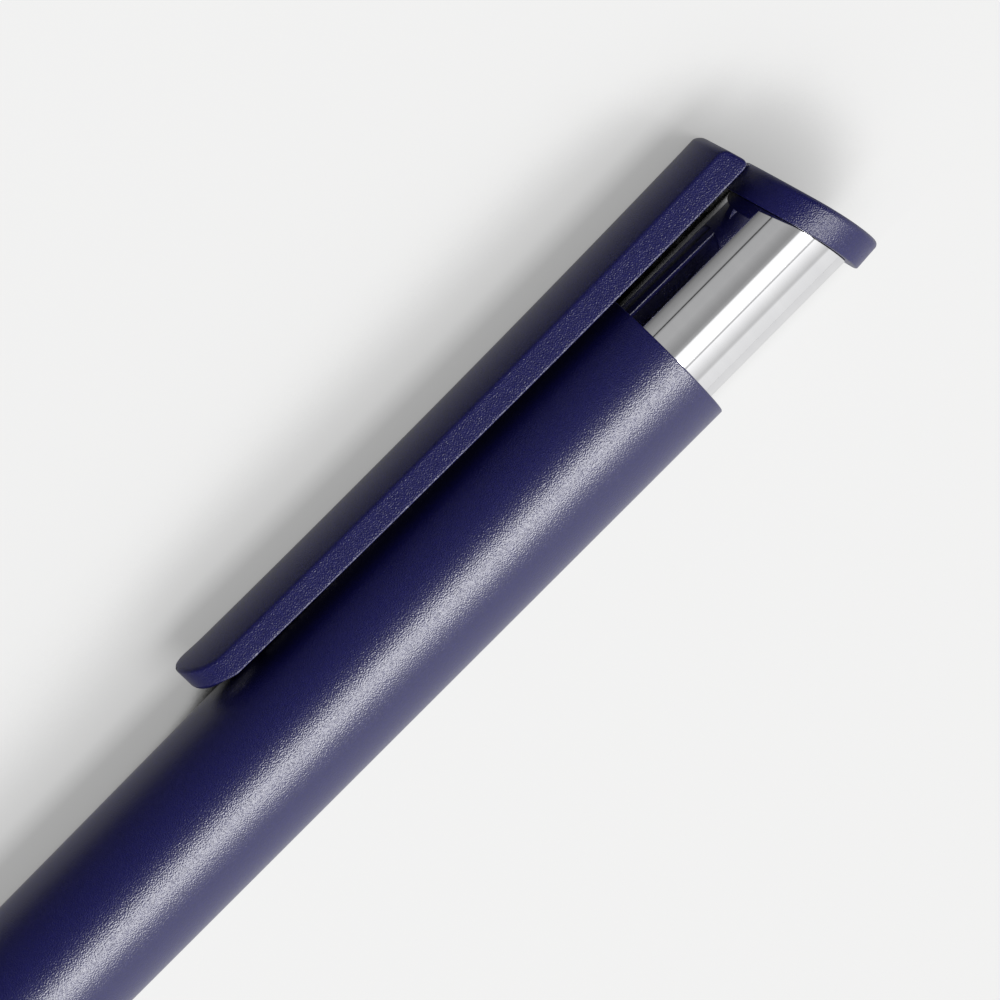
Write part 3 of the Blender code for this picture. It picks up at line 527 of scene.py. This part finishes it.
for name, paint in (
    ("refill_tube", REFILL_STEEL),
    ("refill_ink", INK),
    ("ink_follower", GREASE),
    ("refill_crown", GREY),
    ("cam_rotor", GREY),
    ("guide_sleeve", WHITE),
    ("plunger", WHITE),
    ("refill_tip", BRASS),
    ("writing_ball", CARBIDE),
):
    nodes[name].data.materials.clear()
    nodes[name].data.materials.append(paint)


def barrel_radius(height):
    return RIM_RADIUS - TAPER * (RIM - height)


def barrel_mesh():
    edge = RIM_EDGE
    profile = arc((RIM_RADIUS - edge, RIM - edge), (edge, edge), 90, 0, 6)
    steps = 8
    for k in range(1, steps):
        height = RIM + (NOSE_LENGTH - RIM) * k / steps
        profile.append((barrel_radius(height), height))
    profile += arc((JOINT_RADIUS - edge, NOSE_LENGTH + edge), (edge, edge), 0, -90, 5)
    profile += [
        (COUNTERBORE + edge, NOSE_LENGTH),
        (COUNTERBORE, NOSE_LENGTH + edge),
        (COUNTERBORE, COUNTERBORE_TOP),
        (REFILL_BORE, COUNTERBORE_TOP),
        (REFILL_BORE, GUIDE_SEAT),
        (BARREL_BORE, GUIDE_SEAT),
        (BARREL_BORE, RIM - edge),
        (BARREL_BORE + edge, RIM),
    ]
    return revolve("barrel_shell", profile, FINE_ROUND)


def leaned(x, z):
    """A height on the slanted plate, which bends down on the side away from the clip."""
    behind = max(0.0, PLATE_FLAT_FROM - x)
    return z - SLOPE * x - PLATE_BEND * behind**2


def lean(point):
    return Vector((point.x, point.y, leaned(point.x, point.z)))


def sleeve_mesh():
    """The tube, whose top ring of points is set to the underside of the leaned plate."""
    top = PLATE_LOW - CLOSE_FIT
    profile = [
        (SLEEVE_RADIUS - SLEEVE_EDGE, top),
        (SLEEVE_RADIUS, top - SLEEVE_EDGE),
        (SLEEVE_RADIUS, SLEEVE_LOW),
        (SLEEVE_BORE, SLEEVE_LOW),
        (SLEEVE_BORE, top),
    ]

    def to_plate(point):
        return lean(point) if point.z > top - 2 * SLEEVE_EDGE else point

    return revolve("chrome_tube", profile, FINE_ROUND, move=to_plate)


def plate_mesh():
    low_radius = PLATE_RADIUS + PLATE_DRAFT
    corner = (PLATE_SHOULDER, PLATE_TOP - PLATE_TOP_EDGE)
    low_corner = (low_radius - PLATE_LOW_EDGE, PLATE_LOW + PLATE_LOW_EDGE)
    across = [PLATE_SHOULDER * k / 16 for k in range(16)]
    profile = [(r, PLATE_TOP) for r in across]
    profile += arc(corner, (PLATE_TOP_EDGE, PLATE_TOP_EDGE), 90, 0, 12)
    profile += arc(low_corner, (PLATE_LOW_EDGE, PLATE_LOW_EDGE), 0, -90, 6)
    profile += [(r, PLATE_LOW) for r in reversed(across)]
    return revolve("plate", profile, ROUND, closed=False, move=lean)


def core_mesh():
    middle = (PLATE_TOP + PLATE_LOW) / 2
    profile = [
        (CORE_RADIUS, middle), (CORE_RADIUS, CORE_LOW), (CORE_BORE, CORE_LOW), (CORE_BORE, middle),
    ]
    return revolve("core", profile, HIDDEN_ROUND, move=lambda p: lean(p) if p.z > RIM else p)


def clip_radius(height):
    away = height - (RIM - CLIP_BOW_CENTRE)
    near_tip = max(0.0, 1 - (height - CLIP_TIP) / CLIP_LIFT_LENGTH)
    return CLIP_OUTER_RADIUS + away**2 / (2 * CLIP_BOW_RADIUS) + CLIP_TIP_LIFT * near_tip**2


def towards_tip(at_top, at_tip, height):
    """A value of the clip that changes evenly from the cap's top to the clip's tip."""
    return at_top + (at_tip - at_top) * (PLATE_TOP - height) / (PLATE_TOP - CLIP_TIP)


def clip_inner(height):
    """Distance of the clip's inner face from the axis. It lifts at the tip to let cloth in."""
    depth = towards_tip(CLIP_DEPTH_TOP, CLIP_DEPTH_TIP, height)
    near_tip = max(0.0, 1 - (height - CLIP_TIP) / CLIP_UNDER_LENGTH)
    return clip_radius(height) - depth + CLIP_UNDER_LIFT * near_tip


def clip_half(height):
    return towards_tip(CLIP_HALF_TOP, CLIP_HALF_TIP, height)


CLIP_REACH = clip_radius(CLIP_TOP)
CLIP_BACK = clip_inner(CLIP_TOP)


def clip_section(radius, drop, inner, half, width_share):
    """Closed loop of (x, y, share of the side wall passed) round the clip's solid section."""
    half *= width_share
    edge = CLIP_EDGE * width_share
    swing = math.asin(half / radius)
    steps = 20
    face = []
    for k in range(steps + 1):
        angle = (swing - edge / radius) * k / steps
        x, y = radius * math.cos(angle), radius * math.sin(angle)
        face.append((x - drop * (1 - CLIP_TOP_FADE * (y / half) ** 2), y))
    ridge = (radius * math.cos(swing) - drop * (1 - CLIP_TOP_FADE), half)
    foot = (inner, half + CLIP_FLARE * width_share * (ridge[0] - inner))
    step = edge / math.dist(ridge, foot)
    wall = [step, 0.09, CLIP_TIP_CORNER, 0.2, 0.35, 0.55, 0.75, 1 - step]
    wall = [tuple(r + (f - r) * share for r, f in zip(ridge, foot)) for share in wall]
    under = (inner, foot[1] - edge)
    half_loop = face[:-1] + bezier(face[-1], ridge, wall[0], 5)
    half_loop += wall[1:-1] + bezier(wall[-1], foot, under, 5)
    half_loop += [(inner, under[1] * (1 - k / 8)) for k in range(1, 9)]
    loop = []
    for x, y in half_loop:
        passed = min(1.0, max(0.0, (ridge[0] - x) / (ridge[0] - inner)))
        loop.append((x, y, passed))
    return loop + [(x, -y, passed) for x, y, passed in reversed(loop[1:-1])]


def drawn_in(depth, height, width):
    """How far a rounded corner draws in its face, by the depth below the corner's top."""
    if depth >= height:
        return 0.0
    return width * (1 - math.sqrt(1 - (1 - depth / height) ** 2))


def clip_rings():
    """Sections of the clip: its rounded top end, its length, and its rounded tip."""
    rings = []
    count = 14
    for k in range(count + 1):
        depth = CLIP_CORNER_DROP * (1 - math.cos(math.pi / 2 * k / count))
        drop = drawn_in(depth, CLIP_TOP_DROP, CLIP_TOP_WIDTH)
        inner = CLIP_BACK + drawn_in(depth, CLIP_CORNER_DROP, CLIP_CORNER_WIDTH)
        half = CLIP_HALF_TOP - drawn_in(depth, CLIP_EDGE, CLIP_EDGE)
        section = clip_section(CLIP_REACH, drop, inner, half, 1.0)
        rings.append([(x, y, PLATE_TOP - depth - SLOPE * x) for x, y, passed in section])
    top = PLATE_TOP - CLIP_CORNER_DROP
    tip_start = CLIP_TIP + CLIP_TIP_LENGTH
    steps = 40
    for k in range(1, steps + 1):
        height = top + (tip_start - top) * k / steps
        slope = SLOPE * (1 - k / steps)
        low = height - slope * CLIP_OUTER_RADIUS
        section = clip_section(clip_radius(low), 0.0, clip_inner(low), clip_half(height), 1.0)
        rings.append([(x, y, height - slope * x) for x, y, passed in section])
    steps = 36
    for k in range(1, steps + 1):
        turn = math.radians(CLIP_TIP_TURN) * k / steps
        along = CLIP_TIP_LENGTH - CLIP_TIP_SLANT
        height = tip_start - along * math.sin(turn)
        radius = clip_radius(height)
        left = along * (1 - math.sin(turn))
        drop = drawn_in(left, CLIP_TIP_EDGE, CLIP_TIP_EDGE)
        half = clip_half(height)
        section = clip_section(radius, drop, clip_inner(height), half, math.cos(turn))
        slant = CLIP_TIP_SLANT * math.sin(turn)
        ring = []
        for x, y, passed in section:
            beyond = min(1.0, passed / CLIP_TIP_CORNER)
            ring.append((x, y, height - slant * math.sqrt(beyond * (2 - beyond))))
        rings.append(ring)
    return rings


def channel_mesh(side):
    """One of the two channels under the clip, on either side of its middle rib."""
    top = PLATE_LOW - SLOPE * PLATE_RADIUS - CHANNEL_RUN_OUT
    low = CLIP_TIP + CHANNEL_FROM_TIP
    steps = 24
    first, last = top - CHANNEL_RUN_OUT, low + CHANNEL_RUN_OUT
    heights = [top] + [first + (last - first) * k / steps for k in range(steps + 1)] + [low]
    rings = []
    for height in heights:
        radius = clip_radius(height)
        inner = clip_inner(height)
        half = clip_half(height)
        wide = half + CLIP_FLARE * (math.sqrt(radius**2 - half**2) - inner) - CHANNEL_LIP
        depth_share = CHANNEL_END_DEPTH if height in (top, low) else 1.0
        roof = []
        for k in range(17):
            y = CHANNEL_RIB_HALF + (wide - CHANNEL_RIB_HALF) * k / 16
            rise = math.sqrt((radius - CLIP_ROOF) ** 2 - y**2) - inner
            roof.append((inner + rise * depth_share, side * y, height))
        near, far = side * (CHANNEL_RIB_HALF - CHANNEL_EDGE), side * (wide + CHANNEL_EDGE)
        below, mouth = inner - CHANNEL_CUT_BELOW, inner + CHANNEL_EDGE
        ring = [(below, near, height), (inner, near, height), (mouth, roof[0][1], height)]
        ring += roof
        ring += [(mouth, roof[-1][1], height), (inner, far, height), (below, far, height)]
        rings.append(ring)
    return loft("channel", rings)


def neck_mesh():
    inside = PLATE_RADIUS - NECK_ROOT
    outside = CLIP_BACK + CLIP_DEPTH_TOP * NECK_INTO_CLIP
    low, high = PLATE_LOW + PLATE_LOW_EDGE, PLATE_TOP - NECK_DROP
    plan = [(inside, NECK_HALF_AT_PLATE)]
    steps = 12
    for k in range(steps + 1):
        share = k / steps
        half = NECK_HALF_AT_PLATE + (NECK_HALF_AT_CLIP - NECK_HALF_AT_PLATE) * share**2
        plan.append((PLATE_RADIUS + (outside - PLATE_RADIUS) * share, half))
    plan += [(x, -half) for x, half in reversed(plan)]
    rings = [[(x, y, z - SLOPE * x) for x, y in plan] for z in (high, low)]
    return loft("neck", rings)


def pip_mesh():
    height = CLIP_TIP + PIP_FROM_TIP
    middle = barrel_radius(height) + PIP_CLEARANCE + PIP_DEPTH
    bm = bmesh.new()
    bmesh.ops.create_uvsphere(bm, u_segments=64, v_segments=32, radius=1.0)
    for vert in bm.verts:
        depth = PIP_DEPTH if vert.co.x < 0 else PIP_DEPTH / 2
        x, y, z = vert.co.x * depth, vert.co.y * PIP_WIDTH / 2, vert.co.z * PIP_LENGTH / 2
        vert.co = (middle + x, y, height + z)
    return finish_mesh("pip", bm)


def cap_mesh():
    blade = loft("blade", clip_rings())
    steps = [(channel_mesh(side), "DIFFERENCE") for side in (-1, 1)]
    steps += [(mesh, "UNION") for mesh in (neck_mesh(), plate_mesh(), core_mesh(), pip_mesh())]
    return combine(blade, steps)


def nose_radius(height):
    share = 1 - (1 - height / NOSE_LENGTH) ** NOSE_FULLNESS
    return NOSE_FRONT_RADIUS + (JOINT_RADIUS - NOSE_FRONT_RADIUS) * share


def nose_mesh():
    """The turned nose, with a thread on its spigot."""
    shoulder = NOSE_LENGTH - CLOSE_FIT
    spigot_top = NOSE_LENGTH + SPIGOT_LENGTH
    thread_low = NOSE_LENGTH + THREAD_FROM_SHOULDER
    thread_high = spigot_top - THREAD_FROM_END
    profile = [(SPIGOT_RADIUS - SPIGOT_EDGE, spigot_top), (SPIGOT_RADIUS, spigot_top - SPIGOT_EDGE)]
    for k in range(THREAD_ROWS + 1):
        height = thread_high + (thread_low - thread_high) * k / THREAD_ROWS
        profile.append((SPIGOT_RADIUS, height))
    profile.append((SPIGOT_RADIUS, shoulder))
    corner = (nose_radius(shoulder) - RIM_EDGE, shoulder - RIM_EDGE)
    profile += arc(corner, (RIM_EDGE, RIM_EDGE), 90, 0, 5)
    steps = 40
    for k in range(1, steps):
        height = (shoulder - RIM_EDGE) * (1 - k / steps)
        if height > NOSE_EDGE:
            profile.append((nose_radius(height), height))
    front = nose_radius(NOSE_EDGE)
    profile += arc((front - NOSE_EDGE, NOSE_EDGE), (NOSE_EDGE, NOSE_EDGE), 0, -90, 8)
    profile += [
        (TIP_HOLE + TIP_HOLE_EDGE, 0),
        (TIP_HOLE, TIP_HOLE_EDGE),
        (TIP_HOLE, CHAMBER_DEPTH),
        (CHAMBER_RADIUS, CHAMBER_DEPTH),
        (CHAMBER_RADIUS, CHAMBER_TOP),
        (NOSE_BORE, CHAMBER_TOP),
        (NOSE_BORE, spigot_top),
    ]

    def cut_thread(point):
        radius = math.hypot(point.x, point.y)
        outside = radius >= SPIGOT_RADIUS - THREAD_SLACK
        if not outside or not thread_low <= point.z <= thread_high:
            return point
        turn = math.atan2(point.y, point.x) / math.tau
        phase = (point.z / THREAD_PITCH - turn) % 1.0
        ends = min(point.z - thread_low, thread_high - point.z) / THREAD_PITCH
        depth = THREAD_DEPTH * min(1.0, ends * 2) * (1 - abs(2 * phase - 1))
        share = (radius - depth) / radius
        return Vector((point.x * share, point.y * share, point.z))

    return revolve("nose_shell", profile, ROUND, move=cut_thread)


def spring_mesh():
    """A round-wire coil from the nose's seat to the refill's shoulder."""
    low_box, high_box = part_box("return_spring")
    low = TIP_X - high_box.x + WIRE_RADIUS
    high = TIP_X - low_box.x - WIRE_RADIUS
    per_turn, wire_steps = 48, 12
    count = COIL_TURNS * per_turn
    rise = (high - low) / (COIL_TURNS * math.tau)
    rings = []
    for k in range(count + 1):
        turn = math.tau * k / per_turn
        out = Vector((math.cos(turn), math.sin(turn), 0))
        along = Vector((-COIL_RADIUS * math.sin(turn), COIL_RADIUS * math.cos(turn), rise)).normalized()
        side = along.cross(out)
        centre = out * COIL_RADIUS + Vector((0, 0, low + (high - low) * k / count))
        ring = []
        for j in range(wire_steps):
            angle = math.tau * j / wire_steps
            ring.append(centre + WIRE_RADIUS * (math.cos(angle) * out + math.sin(angle) * side))
        rings.append(ring)
    return loft("coil_spring", rings)


put("barrel_shell", barrel_mesh(), "pen_body", "navy_plastic", NAVY, "barrel")
put("chrome_tube", sleeve_mesh(), "pusher", "chrome", CHROME, "chrome_sleeve")
put("cap_and_clip", cap_mesh(), "pusher", "navy_plastic", CAP_NAVY, "clip_cap")
put("nose_shell", nose_mesh(), "nose", "chrome", CHROME, "nose_cone")
coil = put("coil_spring", spring_mesh(), "nose_carrier", "spring_steel", SPRING_STEEL, "return_spring")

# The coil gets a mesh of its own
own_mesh(coil)


def emission(tree, links, colour, strength):
    """An emitter whose strength varies. Its colour is a socket or a plain value."""
    made = tree.new("ShaderNodeEmission")
    if isinstance(colour, tuple):
        made.inputs["Color"].default_value = colour
    else:
        links.new(colour, made.inputs["Color"])
    links.new(strength, made.inputs["Strength"])
    return made.outputs[0]


def diffuse(tree, links, colour):
    made = tree.new("ShaderNodeBsdfDiffuse")
    links.new(colour, made.inputs["Color"])
    return made.outputs[0]


def added(tree, links, one, two):
    made = tree.new("ShaderNodeAddShader")
    links.new(one, made.inputs[0])
    links.new(two, made.inputs[1])
    return made.outputs[0]


def chosen(tree, links, share, no, yes):
    made = tree.new("ShaderNodeMixShader")
    for place, socket in enumerate((share, no, yes)):
        links.new(socket, made.inputs[place])
    return made.outputs[0]


def floor():
    """A pale floor. The camera sees it evenly lit, with a soft painted shadow where the pen closes it
    in:
    its glow is darkened by ambient occlusion, and only a small lit share holds the lamp's own shadow.

    Reflections see a painted reflection of the set that the photograph's chrome and barrel show: pale on
    the far side, grey under the pen, and black further out on the clip's side. Other rays meet plain
    pale paint with a faint fill. Every ray's colour is darkened under and beside the pen, as painted
    shade.
    """
    made, tree, links, shader = new_material("pale_floor")
    tree.remove(shader)
    made.cycles.emission_sampling = "NONE"
    where = tree.new("ShaderNodeTexCoord")
    parts = tree.new("ShaderNodeSeparateXYZ")
    links.new(where.outputs["Object"], parts.inputs["Vector"])

    # Painted shadow: how closed in the floor lies darkens its glow, and every ray's colour, near the pen
    is_open = openness(tree, FLOOR_REACH, FLOOR_SAMPLES)
    painted_contact_shade = spread(tree, links, is_open, FLOOR_PAINTED_SHADE_SPAN, (FLOOR_PAINTED_SHADE_LEAST, 1.0), eased=True)
    shade = ramp(tree, links, is_open, FLOOR_PAINTED_SHADOW)
    # The painted shadow fades out on the far side, away from the clip
    far_side = spread(tree, links, parts.outputs["Y"], FLOOR_LIT_SIDE, eased=True)
    share = calculate(tree, links, "MAXIMUM", shade, far_side)
    share = calculate(tree, links, "MULTIPLY", share, painted_contact_shade)
    strength = calculate(tree, links, "MULTIPLY", share, FLOOR_GLOW)
    glow = emission(tree, links, FLOOR_TINT, strength)
    lit = diffuse(tree, links, scaled(tree, links, FLOOR_LIT, painted_contact_shade))

    # Painted reflection: glossy rays see these greys, black far out on the clip's side, not the pale
    # floor
    across = spread(tree, links, parts.outputs["Y"], FLOOR_ACROSS)
    painted_reflection = emission(tree, links, ramp(tree, links, across, FLOOR_PAINTED_REFLECTION), painted_contact_shade)
    paint = diffuse(tree, links, scaled(tree, links, FLOOR_BOUNCE, painted_contact_shade))
    fill = emission(tree, links, (FLOOR_FILL, FLOOR_FILL, FLOOR_FILL, 1), painted_contact_shade)

    ray = tree.new("ShaderNodeLightPath").outputs
    bounced = added(tree, links, paint, fill)
    other = chosen(tree, links, ray["Is Glossy Ray"], bounced, painted_reflection)
    surface = chosen(tree, links, ray["Is Camera Ray"], other, added(tree, links, glow, lit))
    links.new(surface, tree["Material Output"].inputs["Surface"])

    bm = bmesh.new()
    bmesh.ops.create_circle(bm, cap_ends=True, segments=96, radius=FLOOR_RADIUS)
    mesh = finish_mesh("floor", bm)
    mesh.materials.append(made)
    plane = bpy.data.objects.new("floor", mesh)
    bpy.context.scene.collection.objects.link(plane)


def key_lamp():
    """A long soft lamp over the pen. Its elevation runs from the clip's horizon over the top."""
    elevation = math.radians(KEY_ELEVATION)
    toward = Vector((0, -math.cos(elevation), math.sin(elevation)))
    along = Vector((1, 0, 0))
    data = bpy.data.lights.new("key", "AREA")
    data.shape = "RECTANGLE"
    data.size = KEY_LENGTH
    data.size_y = KEY_WIDTH
    data.energy = KEY_RADIANCE * math.pi * KEY_WIDTH * KEY_LENGTH
    lamp = bpy.data.objects.new("key", data)
    turned = Matrix((along, toward.cross(along), toward)).transposed().to_4x4()
    lamp.matrix_world = Matrix.Translation(toward * KEY_DISTANCE) @ turned
    bpy.context.scene.collection.objects.link(lamp)


def surroundings():
    """A studio as the chrome sees it, by the angle over the pen from the clip's horizon."""
    world = bpy.data.worlds.new("studio")
    bpy.context.scene.world = world
    world.use_nodes = True
    tree, links = world.node_tree.nodes, world.node_tree.links
    where = tree.new("ShaderNodeTexCoord")
    parts = tree.new("ShaderNodeSeparateXYZ")
    links.new(where.outputs["Generated"], parts.inputs["Vector"])

    to_clip = calculate(tree, links, "MULTIPLY", parts.outputs["Y"], -1.0)
    angle = calculate(tree, links, "ARCTAN2", parts.outputs["Z"], to_clip)
    half_turn = spread(tree, links, angle, (0.0, math.pi))
    grey = ramp(tree, links, half_turn, [(degrees / 180, value) for degrees, value in STUDIO_GREYS])

    aside = calculate(tree, links, "ADD", parts.outputs["X"], -WINDOW_CENTRE)
    aside = calculate(tree, links, "ABSOLUTE", aside)
    window = spread(tree, links, aside, WINDOW_FADE, (1.0, WINDOW_LEAST), eased=True)
    window_end = tuple(math.radians(degrees) for degrees in WINDOW_END)
    beyond = spread(tree, links, angle, window_end, eased=True)
    weight = tree.new("ShaderNodeMix")
    links.new(beyond, weight.inputs["Factor"])
    links.new(window, weight.inputs["A"])
    weight.inputs["B"].default_value = 1.0

    colour = tree.new("ShaderNodeMix")
    colour.data_type = "RGBA"
    path = tree.new("ShaderNodeLightPath")
    links.new(path.outputs["Is Camera Ray"], colour.inputs["Factor"])
    links.new(scaled(tree, links, grey, weight.outputs["Result"]), colour.inputs["A"])
    colour.inputs["B"].default_value = BACKDROP
    links.new(colour.outputs["Result"], tree["Background"].inputs["Color"])
    tree["Background"].inputs["Strength"].default_value = 1.0


def camera():
    """Puts the camera where the photograph was taken from, by the pen's own axes."""
    angle = math.radians(VIEW_ANGLE)
    view = Vector((math.cos(angle), math.sin(angle), 0))
    side = Vector((math.sin(angle), -math.cos(angle), 0))
    along = Vector((0, 0, math.cos(VIEW_ROLL))) - side * math.sin(VIEW_ROLL)
    across = -side * math.cos(VIEW_ROLL) - Vector((0, 0, math.sin(VIEW_ROLL)))
    right = (along + across).normalized()
    up = (along - across).normalized()
    place = Vector((0, 0, RIM - VIEW_BELOW_RIM))
    place += side * VIEW_ASIDE_MM * MM
    place += view * VIEW_DISTANCE_MM * MM
    data = bpy.data.cameras.new("camera")
    data.sensor_width = SENSOR_WIDTH
    data.lens = LENS_TO_SENSOR * SENSOR_WIDTH
    data.clip_start = NEAR_CLIP
    made = bpy.data.objects.new("camera", data)
    turned = Matrix((right, up, view)).transposed().to_4x4()
    made.matrix_world = PEN @ Matrix.Translation(place) @ turned
    bpy.context.scene.collection.objects.link(made)
    bpy.context.scene.camera = made


floor()
key_lamp()
surroundings()
camera()
bpy.context.scene.view_settings.view_transform = "Standard"
